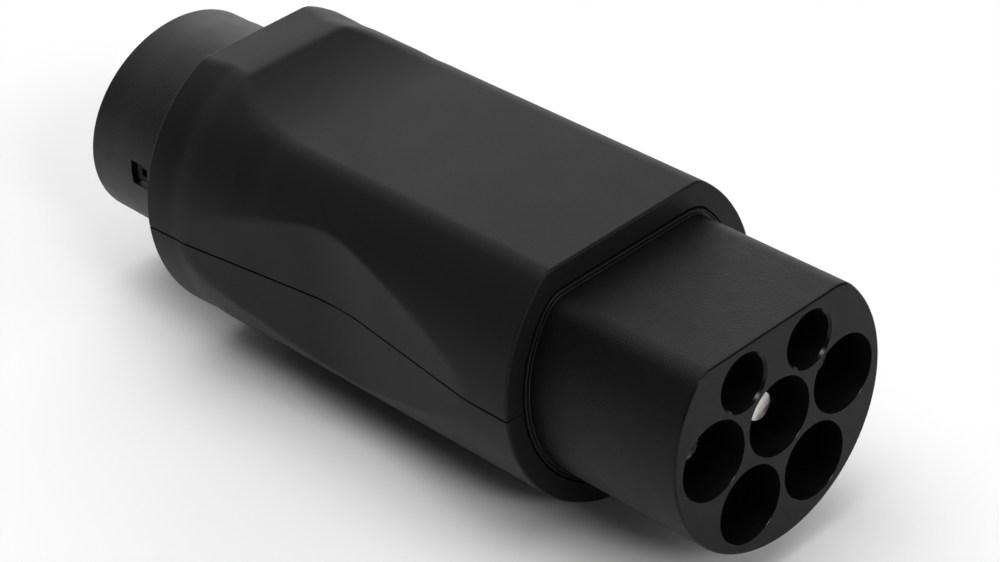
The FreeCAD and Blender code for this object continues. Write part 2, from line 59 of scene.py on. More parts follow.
# Plug body: the vehicle side's insulator, one moulding of black glass-filled nylon. Its D-shaped nose has
# seven ways, five of them with a pin, and the fine grain of its spark-eroded mould. The shells grip its
# flange, and two screws come up into its root.
MM = 0.001
front_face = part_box("upper_housing")[1].x
wall = 3.0 * MM
cavity_front = front_face - wall
plug_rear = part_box("plug_body")[0].x
plug_radius = 27.8 * MM
plug_flat = 20.1 * MM
plug_corner = 5.7 * MM
plug_edge_round = 0.5 * MM
flange_rise = 2.6 * MM
flange_thickness = 3.5 * MM
flange_rear = cavity_front - flange_thickness
side_steps = 60
corner_steps = 18
flat_steps = 14
edge_steps = 6


def spread(low, high, steps):
    """Evenly spaced values from low to high, both ends in."""
    return [low + (high - low) * k / steps for k in range(steps + 1)]


def d_corner(radius, flat, corner):
    """A D outline's corner arc: its centre's y and z, and the angle where the round side runs into it."""
    centre_z = flat - corner
    centre_y = math.sqrt((radius - corner) ** 2 - centre_z ** 2)
    return centre_y, centre_z, math.atan2(centre_z, centre_y)


def d_top(radius, flat, corner):
    """A D outline's right corner and half its flat as (y, z), past the end of its round side."""
    centre_y, centre_z, meet = d_corner(radius, flat, corner)
    bend = [(centre_y + corner * math.cos(a), centre_z + corner * math.sin(a))
            for a in spread(meet, math.pi / 2, corner_steps)]
    return bend[1:] + [(y, flat) for y in spread(centre_y, 0.0, flat_steps)[1:]]


def arc(radius, turns):
    """Points as (y, z) at these angles on a circle round the axis."""
    return [(radius * math.cos(a), radius * math.sin(a)) for a in turns]


def mirrored(half):
    """A row of points up one side, with its mirror image down the other."""
    return half + [(x, -y, z) for x, y, z in half[-2::-1]]


def plug_row(x, rise=0.0):
    """The plug's D outline at x, grown by rise, as a closed row of points."""
    shape = (plug_radius + rise, plug_flat + rise, plug_corner + rise)
    meet = d_corner(*shape)[2]
    half = arc(plug_radius + rise, spread(-math.pi / 2, meet, side_steps)) + d_top(*shape)
    return mirrored([(x, y, z) for y, z in half])[:-1]


def quarter_round(radius, steps=edge_steps):
    """An edge's round from skin to face: how far each point lies in from the skin and back from the face."""
    turns = spread(0.0, math.pi / 2, steps)
    return [(radius * (1 - math.cos(turn)), radius * (1 - math.sin(turn))) for turn in turns]


def circle_row(x, radius, y=0.0, z=0.0, segments=96):
    """A circle of points round an axis along X."""
    turns = [2 * math.pi * k / segments for k in range(segments)]
    return [(x, y + radius * math.cos(a), z + radius * math.sin(a)) for a in turns]


def skin(mesh, rows, closed=True, wrap=False):
    """Adds rows of points to a bmesh with quads between them. Returns the vertices row by row."""
    made = [[mesh.verts.new(point) for point in row] for row in rows]
    pairs = list(zip(made, made[1:])) + ([(made[-1], made[0])] if wrap else [])
    for first, second in pairs:
        count = len(first)
        for k in range(count if closed else count - 1):
            n = (k + 1) % count
            mesh.faces.new((first[k], first[n], second[n], second[k]))
    return made


def fill(mesh, loops):
    """Fills a flat outline, less its holes, between rows of vertices that are there already."""
    triangles = tessellate_polygon([[v.co for v in loop] for loop in loops])
    vertices = [v for loop in loops for v in loop]
    for triangle in triangles:
        mesh.faces.new([vertices[k] for k in triangle])


def capped(mesh, rows):
    """Adds rows of points to a bmesh as a closed solid, with a flat face at each end."""
    made = skin(mesh, rows)
    fill(mesh, [made[0]])
    fill(mesh, [made[-1]])


def finish_piece(mesh, name, material, node, sharp_angle=38.0):
    """Turns a bmesh into a smooth piece on the root body that stands for the named node."""
    bmesh.ops.recalc_face_normals(mesh, faces=mesh.faces)
    data = bpy.data.meshes.new(name)
    mesh.to_mesh(data)
    mesh.free()
    data.shade_smooth()
    data.set_sharp_from_angle(angle=math.radians(sharp_angle))
    data.materials.append(material)
    piece = bpy.data.objects.new(name, data)
    bpy.context.scene.collection.objects.link(piece)
    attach(piece, "root")
    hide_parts(node)


nylon_black = "#050505"
nylon_grey = "#111112"
nylon_gloss = 0.155
nylon_roughness = (0.42, 0.55)
nylon_grain = 0.27 * MM
fibre_patch = 4.0 * MM
pit_depth = 0.12 * MM
pit_relief = 0.9
edge_slant = 0.7
edge_band = (0.12, 0.24)
edge_relief = 0.04
edge_roughness = 0.2


def linear(colour):
    """An sRGB hex value as the linear colour that a shader takes."""
    parts = [int(colour[k:k + 2], 16) / 255 for k in (1, 3, 5)]
    return tuple(c / 12.92 if c <= 0.04045 else ((c + 0.055) / 1.055) ** 2.4 for c in parts) + (1.0,)


def add_node(tree, kind, values):
    """Adds a shader node. Each value is a property, a socket's own value or an output to link from."""
    node = tree.nodes.new(kind)
    for name, value in values.items():
        if isinstance(value, bpy.types.NodeSocket):
            tree.links.new(value, node.inputs[name])
        elif isinstance(name, str) and hasattr(node, name):
            setattr(node, name, value)
        else:
            node.inputs[name].default_value = value
    return node


def start_material(name):
    """A new material, its tree and the place on the piece in metres."""
    material = bpy.data.materials.new(name)
    material.use_nodes = True
    material.node_tree.nodes.clear()
    place = add_node(material.node_tree, "ShaderNodeTexCoord", {}).outputs["Object"]
    return material, material.node_tree, place


def spark_eroded_nylon(name, black, grey, gloss):
    """Glass-filled nylon from a spark-eroded mould: fine pits that scatter light, fibres that vary its sheen.

    The pits are drawn about three times as wide as real ones, so that they show. Rounded and chamfered front
    edges have lost theirs to handling, so they shine more than the faces. An edge is what faces forward by
    about edge_slant, and it fades out over edge_band.
    """
    material, tree, place = start_material(name)
    pits = add_node(tree, "ShaderNodeTexNoise", {"Vector": place, "Scale": 1 / nylon_grain, "Detail": 4.0})
    fibres = add_node(tree, "ShaderNodeTexNoise", {"Vector": place, "Scale": 1 / fibre_patch, "Detail": 6.0})
    colour = add_node(tree, "ShaderNodeValToRGB", {"Fac": pits.outputs["Fac"]})
    colour.color_ramp.elements[0].position = 0.3
    colour.color_ramp.elements[0].color = linear(black)
    colour.color_ramp.elements[1].position = 0.75
    colour.color_ramp.elements[1].color = linear(grey)
    matt = add_node(tree, "ShaderNodeMapRange", {
        "Value": fibres.outputs["Fac"], "To Min": nylon_roughness[0], "To Max": nylon_roughness[1]})
    facing = add_node(tree, "ShaderNodeTexCoord", {}).outputs["Normal"]
    forward = add_node(tree, "ShaderNodeSeparateXYZ", {"Vector": facing}).outputs["X"]
    slant = add_node(tree, "ShaderNodeMath", {"operation": "SUBTRACT", 0: forward, 1: edge_slant})
    off_edge = add_node(tree, "ShaderNodeMath", {"operation": "ABSOLUTE", 0: slant.outputs["Value"]})
    edge = {"Value": off_edge.outputs["Value"], "From Min": edge_band[0], "From Max": edge_band[1]}
    rough = add_node(tree, "ShaderNodeMapRange", {
        **edge, "To Min": edge_roughness, "To Max": matt.outputs["Result"]})
    relief = add_node(tree, "ShaderNodeMapRange", {**edge, "To Min": edge_relief, "To Max": pit_relief})
    bump = add_node(tree, "ShaderNodeBump", {
        "Height": pits.outputs["Fac"], "Strength": relief.outputs["Result"], "Distance": pit_depth})
    shader = add_node(tree, "ShaderNodeBsdfPrincipled", {
        "Base Color": colour.outputs["Color"],
        "Roughness": rough.outputs["Result"],
        "Specular IOR Level": gloss,
        "Normal": bump.outputs["Normal"],
    })
    add_node(tree, "ShaderNodeOutputMaterial", {"Surface": shader.outputs["BSDF"]})
    return material


def pin_seat(node):
    """Where a pin's axis lies, as y and z, and the radius of its shoulder."""
    low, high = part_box(node)
    return (low.y + high.y) / 2, (low.z + high.z) / 2, (high.y - low.y) / 2


contact_pitch = abs(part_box("line_pin")[1].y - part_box("neutral_pin")[1].y) / 2
pilot_row_height = pin_seat("pilot_pin")[1]
spare_row_height = -contact_pitch * math.sin(math.radians(60))
power_places = {"earth": (0.0, 0.0), "line": (-contact_pitch, 0.0), "neutral": (contact_pitch, 0.0)}
pilot_places = {
    "pilot": (-contact_pitch / 2, pilot_row_height),
    "proximity": (contact_pitch / 2, pilot_row_height),
}
spare_places = [(-contact_pitch / 2, spare_row_height), (contact_pitch / 2, spare_row_height)]
plug_places = {**power_places, **pilot_places}
power_pin_radius = 3.0 * MM
pilot_pin_radius = 1.5 * MM
power_way_radius = 8.15 * MM
pilot_way_radius = 5.7 * MM
power_way_chamfer = 0.07 * MM
pilot_way_chamfer = 0.5 * MM
way_depth = 32.0 * MM
pin_clearance = 0.1 * MM
shoulder_thickness = 3.0 * MM
support = 0.06 * MM


def way_rows(y, z, radius, chamfer):
    """A way's rows from its chamfered mouth down to its floor. A support row keeps the floor's edge crisp."""
    stations = [(0.0, radius + chamfer), (-chamfer, radius),
                (-way_depth + support, radius), (-way_depth, radius - support)]
    return [circle_row(x, r, y, z) for x, r in stations]


housing_radius = 33.6 * MM
screw_radius = 1.5 * MM
screw_head_radius = 3.0 * MM
screw_head_height = 2.4 * MM
screw_head_recess = 0.4 * MM
screw_segments = 48
front_screw_length = 13.0 * MM
front_screw_spread = 10.0 * MM
front_screw_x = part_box("housing_screws")[1].x - screw_head_radius
retainer_screw_radius = 1.4 * MM
retainer_screw_reach = 8.0 * MM
retainer_screw_places = [(0.0, 13.5 * MM), (-17.0 * MM, -13.5 * MM), (17.0 * MM, -13.5 * MM)]


def retainer_screw_hole(mesh, floor, mouth, y, z):
    """A blind hole along X for a retainer's screw. Returns the vertices of its mouth."""
    made = skin(mesh, [circle_row(x, retainer_screw_radius, y, z, segments=32) for x in (floor, mouth)])
    fill(mesh, [made[0]])
    return made[-1]


def shaped_row(x, y, z, reach):
    """A level row of points round an upright axis. reach gives its radius at each angle."""
    turns = [2 * math.pi * k / screw_segments for k in range(screw_segments)]
    return [(x + reach(a) * math.cos(a), y + reach(a) * math.sin(a), z) for a in turns]


def upright_row(x, y, radius, z):
    """A level circle of points round an upright axis."""
    return shaped_row(x, y, z, lambda a: radius)


def head_seat(y):
    """The height of the face that a housing screw's head bears on."""
    reach = abs(y) + screw_head_radius
    return -math.sqrt(housing_radius ** 2 - reach ** 2) + screw_head_recess + screw_head_height


def stepped_bore(mesh, x, y, steps):
    """A closed upright cutter: (radius, lower end, upper end) for each step, from the bottom up."""
    capped(mesh, [upright_row(x, y, radius, z) for radius, low, high in steps for z in (low, high)])


def combine(mesh, tool, operation):
    """Cuts a closed bmesh from another, or joins the two. Both are used up."""
    work = []
    for part in (mesh, tool):
        bmesh.ops.recalc_face_normals(part, faces=part.faces)
        data = bpy.data.meshes.new("work")
        part.to_mesh(data)
        part.free()
        work.append(bpy.data.objects.new("work", data))
        bpy.context.scene.collection.objects.link(work[-1])
    change = work[0].modifiers.new("change", "BOOLEAN")
    change.operation = operation
    change.solver = "EXACT"
    change.object = work[1]
    result = bmesh.new()
    result.from_object(work[0], bpy.context.evaluated_depsgraph_get())
    for item in work:
        bpy.data.meshes.remove(item.data)
    return result


nylon = spark_eroded_nylon("spark_eroded_nylon", nylon_black, nylon_grey, nylon_gloss)
body = bmesh.new()
outside = [plug_row(0.0, -plug_edge_round - support)]
outside += [plug_row(-setback, -inset) for inset, setback in quarter_round(plug_edge_round)[::-1]]
outside += [plug_row(x) for x in (-plug_edge_round - support, cavity_front + support, cavity_front)]
outside += [plug_row(x, flange_rise) for x in (cavity_front, flange_rear)]
outside += [plug_row(x) for x in (flange_rear, plug_rear)]
outside_rows = skin(body, outside)
face_loops = [outside_rows[0]]
rear_loops = [outside_rows[-1]]
for name, (y, z) in plug_places.items():
    power = name in power_places
    way_radius = power_way_radius if power else pilot_way_radius
    chamfer = power_way_chamfer if power else pilot_way_chamfer
    hole = (power_pin_radius if power else pilot_pin_radius) + pin_clearance
    recess = pin_seat(name + "_pin")[2] + pin_clearance
    rows = way_rows(y, z, way_radius, chamfer)
    rows += [circle_row(x, hole, y, z) for x in (-way_depth, plug_rear + shoulder_thickness)]
    rows += [circle_row(x, recess, y, z) for x in (plug_rear + shoulder_thickness, plug_rear)]
    made = skin(body, rows)
    face_loops.append(made[0])
    rear_loops.append(made[-1])
for y, z in spare_places:
    made = skin(body, way_rows(y, z, power_way_radius, power_way_chamfer))
    face_loops.append(made[0])
    fill(body, [made[-1]])
for y, z in retainer_screw_places:
    rear_loops.append(retainer_screw_hole(body, plug_rear + retainer_screw_reach, plug_rear, y, z))
fill(body, face_loops)
fill(body, rear_loops)
screw_holes = bmesh.new()
for y in (-front_screw_spread, front_screw_spread):
    bore_top = head_seat(y) + front_screw_length
    stepped_bore(screw_holes, front_screw_x, y, [(screw_radius, -housing_radius, bore_top)])
body = combine(body, screw_holes, "DIFFERENCE")
finish_piece(body, "plug_nose", nylon, "plug_body")

# Plug pins: five male contacts turned from brass bar and plated with silver. Each stands in its own way with
# its tip a few millimetres behind the plug's face, the earth pin furthest forward, and a shoulder seats it
# at the rear.
silver_bright = "#E4E2DD"
silver_dull = "#BDB7AC"
silver_roughness = (0.14, 0.3)
lathe_pitch = 0.12 * MM
ring_stretch = 2.0 * MM
tarnish_patch = 1.5 * MM
fine_relief = 0.02 * MM
tail_length = 11.0 * MM
crimp_depth = 7.0 * MM
crimp_wall = 0.9 * MM
shoulder_rise = 1.6 * MM
pin_tip_round = 0.12 * MM


def turned_silver():
    """Silver plate over turned brass: a soft bright mirror with fine lathe rings and a little tarnish.

    The rings are drawn about twice as far apart as real ones, so that they show.
    """
    material, tree, place = start_material("silver_plated_brass")
    along = add_node(tree, "ShaderNodeMapping", {
        "Vector": place, "Scale": (1 / lathe_pitch, 1 / ring_stretch, 1 / ring_stretch)})
    rings = add_node(tree, "ShaderNodeTexNoise", {
        "Vector": along.outputs["Vector"], "Scale": 1.0, "Detail": 2.0})
    cloud = add_node(tree, "ShaderNodeTexNoise", {"Vector": place, "Scale": 1 / tarnish_patch, "Detail": 4.0})
    colour = add_node(tree, "ShaderNodeValToRGB", {"Fac": cloud.outputs["Fac"]})
    colour.color_ramp.elements[0].position = 0.35
    colour.color_ramp.elements[0].color = linear(silver_dull)
    colour.color_ramp.elements[1].position = 0.6
    colour.color_ramp.elements[1].color = linear(silver_bright)
    rough = add_node(tree, "ShaderNodeMapRange", {
        "Value": cloud.outputs["Fac"], "To Min": silver_roughness[0], "To Max": silver_roughness[1]})
    bump = add_node(tree, "ShaderNodeBump", {
        "Height": rings.outputs["Fac"], "Strength": 0.15, "Distance": fine_relief})
    shader = add_node(tree, "ShaderNodeBsdfPrincipled", {
        "Base Color": colour.outputs["Color"],
        "Metallic": 1.0,
        "Roughness": rough.outputs["Result"],
        "Normal": bump.outputs["Normal"],
    })
    add_node(tree, "ShaderNodeOutputMaterial", {"Surface": shader.outputs["BSDF"]})
    return material


def turned_pin(name, node, shank, forward):
    """A turned pin from its rounded tip to its crimp tail, with its shoulder, on its node's axis."""
    low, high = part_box(node)
    tip, end = (high.x, low.x) if forward > 0 else (low.x, high.x)
    y, z, shoulder = pin_seat(node)
    tail = shoulder - shoulder_rise
    seat = end + forward * (tail_length + shoulder_thickness)
    back = seat - forward * shoulder_thickness
    tip_bend = quarter_round(pin_tip_round)[::-1]
    profile = [(tip, shank - pin_tip_round - support)]
    profile += [(tip - forward * setback, shank - inset) for inset, setback in tip_bend]
    profile += [(seat, shank), (seat, shoulder - support), (seat - forward * support, shoulder),
                (back + forward * support, shoulder), (back, shoulder - support), (back, tail),
                (end, tail), (end, tail - crimp_wall), (end + forward * crimp_depth, tail - crimp_wall)]
    mesh = bmesh.new()
    capped(mesh, [circle_row(x, r, y, z, segments=64) for x, r in profile])
    finish_piece(mesh, name, silver, node, sharp_angle=30.0)


silver = turned_silver()
for name in plug_places:
    shank = power_pin_radius if name in power_places else pilot_pin_radius
    turned_pin(name + "_contact", name + "_pin", shank, 1)

# Inlet pins: the same five lines at the charging side, thinner pins turned and plated the same way. They
# stand in the core's base inside its ring wall, with the earth pin nearest the mouth.
inlet_pin_radius = {
    "earth": 1.4 * MM,
    "line": 1.8 * MM,
    "neutral": 1.8 * MM,
    "pilot": 0.75 * MM,
    "proximity": 0.75 * MM,
}
for name, shank in inlet_pin_radius.items():
    turned_pin("inlet_" + name + "_contact", "inlet_" + name + "_pin", shank, -1)

# Retainers and their screws: a nylon plate behind the plug's pins and a nylon disc behind the inlet's pins.
# Three and two zinc-plated steel screws hold them. All of it is hidden inside the housing.
zinc_light = "#A9ABAD"
zinc_dark = "#7C7F83"
zinc_cloud = 0.8 * MM


def mottled_finish(name, low, high, patch, detail, roughness, relief, shading):
    """A finish with one mottle in its colour and its height, and in its roughness where that is a range."""
    material, tree, place = start_material(name)
    mottle = add_node(tree, "ShaderNodeTexNoise", {"Vector": place, "Scale": 1 / patch, "Detail": detail})
    field = mottle.outputs["Fac"]
    colour = add_node(tree, "ShaderNodeValToRGB", {"Fac": field})
    colour.color_ramp.elements[0].color = linear(low)
    colour.color_ramp.elements[1].color = linear(high)
    if isinstance(roughness, tuple):
        rough = add_node(tree, "ShaderNodeMapRange", {
            "Value": field, "To Min": roughness[0], "To Max": roughness[1]})
        roughness = rough.outputs["Result"]
    bump = add_node(tree, "ShaderNodeBump", {"Height": field, "Strength": relief, "Distance": fine_relief})
    shader = add_node(tree, "ShaderNodeBsdfPrincipled", {
        "Base Color": colour.outputs["Color"],
        "Roughness": roughness,
        "Normal": bump.outputs["Normal"],
        **shading,
    })
    add_node(tree, "ShaderNodeOutputMaterial", {"Surface": shader.outputs["BSDF"]})
    return material


def dress_node(node, material):
    """Gives its finish to a CAD node that stays as it is."""
    node_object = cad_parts[node]
    node_object.data.materials.clear()
    node_object.data.materials.append(material)


# Clear zinc plate: a cool grey metal with a cloudy, slightly rough face.
zinc = mottled_finish("zinc_plated_steel", zinc_dark, zinc_light, zinc_cloud, detail=5.0,
                      roughness=(0.3, 0.5), relief=0.2, shading={"Metallic": 1.0})
dress_node("pin_retainer", nylon)
dress_node("core_retainer", nylon)
dress_node("retainer_screws", zinc)
dress_node("core_screws", zinc)

# Wires: five lengths of insulated copper from the plug pins' tails to the inlet pins' tails. The PVC is
# extruded in the usual line colours, and hidden inside the housing.
wire_colours = {
    "earth": ("#2E7D3A", "#D9C52B"),
    "line": ("#5A3A22", "#6B4529"),
    "neutral": ("#1F4F9E", "#2A5DB0"),
    "pilot": ("#5F6266", "#6E7276"),
    "proximity": ("#B9BBBD", "#C9CBCD"),
}
stripe_pitch = 11.3 * MM
diagonal_wave_length = math.pi / 5
pvc_grain = 0.6 * MM


def extruded_pvc(name, first, second):
    """Extruded PVC insulation: smooth, slightly waxy, in two colours that alternate along the wire."""
    material, tree, place = start_material("pvc_" + name)
    bands = add_node(tree, "ShaderNodeTexWave", {
        "Vector": place, "wave_type": "BANDS", "bands_direction": "DIAGONAL",
        "Scale": diagonal_wave_length / stripe_pitch})
    orange_peel = add_node(tree, "ShaderNodeTexNoise", {"Vector": place, "Scale": 1 / pvc_grain})
    colour = add_node(tree, "ShaderNodeValToRGB", {"Fac": bands.outputs["Fac"]})
    colour.color_ramp.elements[0].position = 0.45
    colour.color_ramp.elements[0].color = linear(first)
    colour.color_ramp.elements[1].position = 0.55
    colour.color_ramp.elements[1].color = linear(second)
    bump = add_node(tree, "ShaderNodeBump", {
        "Height": orange_peel.outputs["Fac"], "Strength": 0.1, "Distance": fine_relief})
    shader = add_node(tree, "ShaderNodeBsdfPrincipled", {
        "Base Color": colour.outputs["Color"], "Roughness": 0.4, "Normal": bump.outputs["Normal"]})
    add_node(tree, "ShaderNodeOutputMaterial", {"Surface": shader.outputs["BSDF"]})
    return material


for name, (first, second) in wire_colours.items():
    dress_node(name + "_wire", extruded_pvc(name, first, second))

# Coding board: a small glass-epoxy circuit board under green solder mask, with one black chip resistor. It
# stands on two ribs in the lower shell.
mask_green = "#1F5B34"
mask_dark = "#174A2A"
mask_weave = 0.5 * MM
ceramic_black = "#1B1B1D"
ceramic_grey = "#2A2A2C"
ceramic_grit = 0.2 * MM

# Solder mask: a satin green coat over a fine weave.
mask = mottled_finish("solder_mask", mask_dark, mask_green, mask_weave, detail=3.0,
                      roughness=0.35, relief=0.15, shading={})
dress_node("coding_board", mask)

# Fired ceramic: a dull black with a fine grit.
ceramic = mottled_finish("fired_ceramic", ceramic_black, ceramic_grey, ceramic_grit, detail=3.0,
                         roughness=0.5, relief=0.15, shading={})
dress_node("coding_resistor", ceramic)

# Inlet core: the charging side's insulator, moulded in the same nylon. Its base carries the pins, a ring wall
# guards them, and two sprung arms snap into the collar's windows.
rear_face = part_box("upper_housing")[0].x
core_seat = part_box("inlet_core")[1].x
core_base_radius = 22.0 * MM
core_base_thickness = 6.0 * MM
core_front = core_seat - core_base_thickness
core_ring_outer = 18.6 * MM
core_ring_inner = 16.8 * MM
core_ring_length = 23.0 * MM
ring_edge = core_front - core_ring_length
ring_round = 0.5 * MM
core_screw_reach = 5.5 * MM
core_screw_heights = (14.0 * MM, 0.5 * MM)
window_setback = 12.15 * MM
window_length = 5.6 * MM
window_height = 1.55 * MM
window_width = 5.55 * MM
window_gap = 0.8 * MM
window_high_x = rear_face - window_setback
window_low_x = window_high_x - window_length
window_low_z = window_height - window_width / 2
window_high_z = window_height + window_width / 2
arm_inner = 20.9 * MM
arm_sink = 0.3 * MM
hook_outer = 23.5 * MM
snap_slot_length = 2.4 * MM
snap_slot_width = 1.95 * MM
snap_slot_wall = 0.65 * MM
tab_high_x, tab_low_x = window_high_x - window_gap, window_low_x + window_gap
tab_low_z, tab_high_z = window_low_z + window_gap, window_high_z - window_gap
slot_low_x = tab_high_x - snap_slot_length
slot_high_z = tab_high_z - snap_slot_wall
slot_low_z = slot_high_z - snap_slot_width


def stretches(stops, counts):
    """Values from the first stop to the last, each stretch between two stops cut into its own steps."""
    values = stops[:1]
    for low, high, count in zip(stops, stops[1:], counts):
        values += spread(low, high, count)[1:]
    return values


def cylinder_patch(mesh, xs, zs, keep, inner, outer, side):
    """A curved slab between two radii: cells of an x, z grid that keep holds, walled where they end."""
    nodes = {}

    def vertex(i, j, radius):
        """The vertex at a place on the grid and a radius, made once."""
        if (i, j, radius) not in nodes:
            nodes[i, j, radius] = mesh.verts.new((xs[i], side * math.sqrt(radius ** 2 - zs[j] ** 2), zs[j]))
        return nodes[i, j, radius]

    kept = {(i, j) for i in range(len(xs) - 1) for j in range(len(zs) - 1)
            if keep((xs[i] + xs[i + 1]) / 2, (zs[j] + zs[j + 1]) / 2)}
    for i, j in kept:
        corners = [(i, j), (i + 1, j), (i + 1, j + 1), (i, j + 1)]
        for radius in (inner, outer):
            mesh.faces.new([vertex(a, b, radius) for a, b in corners])
        for k, beside in enumerate([(i, j - 1), (i + 1, j), (i, j + 1), (i - 1, j)]):
            if beside not in kept:
                a, b = corners[k], corners[(k + 1) % 4]
                mesh.faces.new([vertex(*a, inner), vertex(*b, inner), vertex(*b, outer), vertex(*a, outer)])


def beside_slot(x, z):
    """Whether a place on an arm or its hook is clear of the snap slot."""
    return not (slot_low_x < x < tab_high_x and slot_low_z < z < slot_high_z)


core = bmesh.new()
ring_bend = quarter_round(ring_round, steps=5)
ring_root = ring_edge + ring_round + support
profile = [(core_seat, core_base_radius - support), (core_seat - support, core_base_radius),
           (core_front, core_base_radius), (core_front, core_ring_outer), (ring_root, core_ring_outer)]
profile += [(ring_edge + setback, core_ring_outer - inset) for inset, setback in ring_bend]
profile += [(ring_edge + setback, core_ring_inner + inset) for inset, setback in ring_bend[::-1]]
profile += [(ring_root, core_ring_inner), (core_front, core_ring_inner)]
made = skin(core, [circle_row(x, r, segments=144) for x, r in profile])
front_loops, seat_loops = [made[-1]], [made[0]]
for name, shank in inlet_pin_radius.items():
    y, z, shoulder = pin_seat("inlet_" + name + "_pin")
    hole = shank + pin_clearance
    recess = shoulder + pin_clearance
    recess_floor = core_seat - shoulder_thickness
    stations = [(core_front, hole), (recess_floor, hole), (recess_floor, recess), (core_seat, recess)]
    made = skin(core, [circle_row(x, r, y, z, segments=48) for x, r in stations])
    front_loops.append(made[0])
    seat_loops.append(made[-1])
for z in core_screw_heights:
    seat_loops.append(retainer_screw_hole(core, core_seat - core_screw_reach, core_seat, 0.0, z))
fill(core, front_loops)
fill(core, seat_loops)
tab_zs = stretches([tab_low_z, slot_low_z, slot_high_z, tab_high_z], (4, 5, 2))
tab_xs = stretches([tab_low_x, slot_low_x, tab_high_x], (4, 5))
arm_xs = stretches([tab_low_x, slot_low_x, tab_high_x, core_front + arm_sink], (4, 5, 24))
for side in (-1, 1):
    cylinder_patch(core, arm_xs, tab_zs, beside_slot, arm_inner, core_base_radius, side)
    cylinder_patch(core, tab_xs, tab_zs, beside_slot, core_base_radius - 2 * support, hook_outer, side)
finish_piece(core, "inlet_insert", nylon, "inlet_core")

# Inlet collar: the round tube that takes the charging plug, moulded in the same grained nylon. Its mouth is
# cut at a slant, its sides have two square windows for the core's arms, and its flange sits inside the
# housing with a seal ring.
collar_black = "#0B0B0C"
collar_grey = "#1B1B1C"
collar_gloss = 0.2
collar_length = 32.4 * MM
collar_mouth = rear_face - collar_length
collar_mouth_radius = 24.3 * MM
collar_root_radius = 24.7 * MM
collar_bore = 22.2 * MM
collar_slant = math.radians(8.3)
slant_setback = 21.0 * MM
slant_start = rear_face - slant_setback
collar_shoulder = 19.6 * MM
collar_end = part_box("inlet_collar")[1].x
collar_round = 0.6 * MM
collar_flange_rise = 1.4 * MM
collar_flange_thickness = 3.0 * MM
cavity_rear = rear_face + wall
flange_radius = collar_root_radius + collar_flange_rise
flange_front = cavity_rear + collar_flange_thickness
groove_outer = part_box("collar_seal")[1].y
groove_width = 1.0 * MM
groove_inner = groove_outer - groove_width
groove_floor = cavity_rear + 1.0 * MM
window_steps = 12
arc_steps = 78


def collar_turns(radius):
    """Column angles round the collar that put a column on each window edge at this radius."""
    low, high = math.asin(window_low_z / radius), math.asin(window_high_z / radius)
    turns = [math.asin(z / radius) for z in spread(window_low_z, window_high_z, window_steps)]
    turns += spread(high, math.pi - high, arc_steps)[1:-1]
    turns += [math.pi - math.asin(z / radius) for z in spread(window_high_z, window_low_z, window_steps)]
    turns += spread(math.pi - low, 2 * math.pi + low, arc_steps)[1:-1]
    return turns


def collar_row(radius, place):
    """A row round the collar at this radius. place gives x for a height z."""
    return [(place(z), y, z) for y, z in arc(radius, collar_turns(radius))]


def square_rows(profile):
    """A row square to the axis for each (x, radius)."""
    return [collar_row(radius, lambda z: x) for x, radius in profile]


def slanted_row(radius, share, setback):
    """A row a share of the way from the square part to the slanted mouth, which the setback moves inward."""
    return collar_row(radius, lambda z: slant_start + share * (
        collar_mouth + z * math.tan(collar_slant) + setback - slant_start))


def drafted(x):
    """The collar's outer radius at x, which narrows towards the mouth."""
    narrowing = collar_root_radius - collar_mouth_radius
    return collar_root_radius - narrowing * min(1.0, (rear_face - x) / collar_length)


collar = bmesh.new()
window_xs = spread(window_high_x, window_low_x, window_steps)
mouth_bend = quarter_round(collar_round)
rows = square_rows([(flange_front, flange_radius), (cavity_rear, flange_radius), (cavity_rear, groove_outer),
                    (groove_floor, groove_outer), (groove_floor, groove_inner), (cavity_rear, groove_inner),
                    (cavity_rear, collar_root_radius), (rear_face, collar_root_radius)])
outer_window = len(rows)
rows += square_rows([(x, drafted(x)) for x in window_xs + [slant_start]])
rows += [slanted_row(collar_mouth_radius, share, collar_round) for share in (0.25, 0.5, 0.75, 0.97, 1.0)]
rows += [slanted_row(collar_mouth_radius - inset, 1.0, setback) for inset, setback in mouth_bend[1:]]
rows += [slanted_row(collar_bore + inset, 1.0, setback) for inset, setback in mouth_bend[:0:-1]]
rows += [slanted_row(collar_bore, share, collar_round) for share in (1.0, 0.97, 0.5)]
rows += square_rows([(slant_start, collar_bore)])
inner_window = len(rows)
rows += square_rows([(x, collar_bore) for x in window_xs[::-1]])
rows += square_rows([(core_seat, collar_bore), (core_seat, collar_shoulder), (collar_end, collar_shoulder),
                     (collar_end, collar_root_radius), (flange_front, collar_root_radius)])
made = skin(collar, rows, wrap=True)
inside = range(window_steps + 1)
for first in (0, window_steps + arc_steps):
    columns = range(first, first + window_steps + 1)
    outer = [[made[outer_window + r][c] for c in columns] for r in inside]
    inner = [[made[inner_window + window_steps - r][c] for c in columns] for r in inside]
    gone = set()
    for grid in (outer, inner):
        for r in range(window_steps):
            for c in range(window_steps):
                cell = (grid[r][c], grid[r][c + 1], grid[r + 1][c + 1], grid[r + 1][c])
                gone.add(collar.faces.get(cell))
    bmesh.ops.delete(collar, geom=list(gone), context="FACES")
    ring = [(0, c) for c in inside] + [(r, window_steps) for r in inside][1:]
    ring += [(window_steps, c) for c in inside][-2::-1] + [(r, 0) for r in inside][-2:0:-1]
    for (r, c), (rn, cn) in zip(ring, ring[1:] + ring[:1]):
        collar.faces.new((outer[r][c], outer[rn][cn], inner[rn][cn], inner[r][c]))
collar_nylon = spark_eroded_nylon("collar_nylon", collar_black, collar_grey, collar_gloss)
finish_piece(collar, "inlet_tube", collar_nylon, "inlet_collar")

